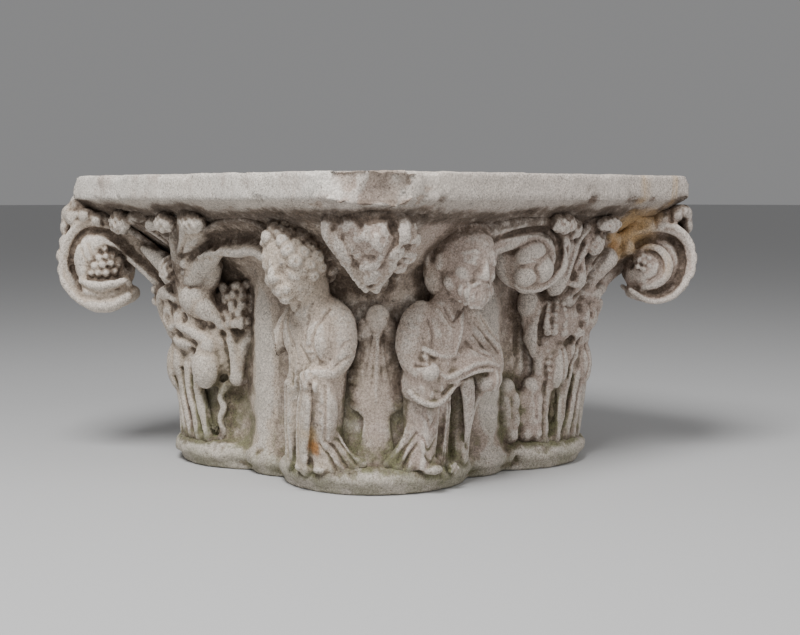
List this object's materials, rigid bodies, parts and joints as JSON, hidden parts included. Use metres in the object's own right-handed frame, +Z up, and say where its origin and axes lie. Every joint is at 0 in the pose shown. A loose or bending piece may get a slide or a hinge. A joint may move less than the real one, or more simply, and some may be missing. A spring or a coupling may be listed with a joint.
{
  "type": "column capital",
  "caption": "Carved stone capital with a square abacus, a four-lobed bell and necking, corner volutes, fruit and leaves, and small robed figures.",
  "frame": {"origin": "centre of the lower bed, on the axis of the bell", "axes": "+Z up through the abacus; X and Y along the sides of the abacus, the broken corner at +X -Y"},
  "size_m": [0.5932, 0.5975, 0.34],
  "materials": {
    "stone": "weathered pale marble, rough and matt, with brown dirt and moss in the hollows"
  },
  "bodies": {
    "root": {"capital": "stone"}
  },
  "joints": []
}
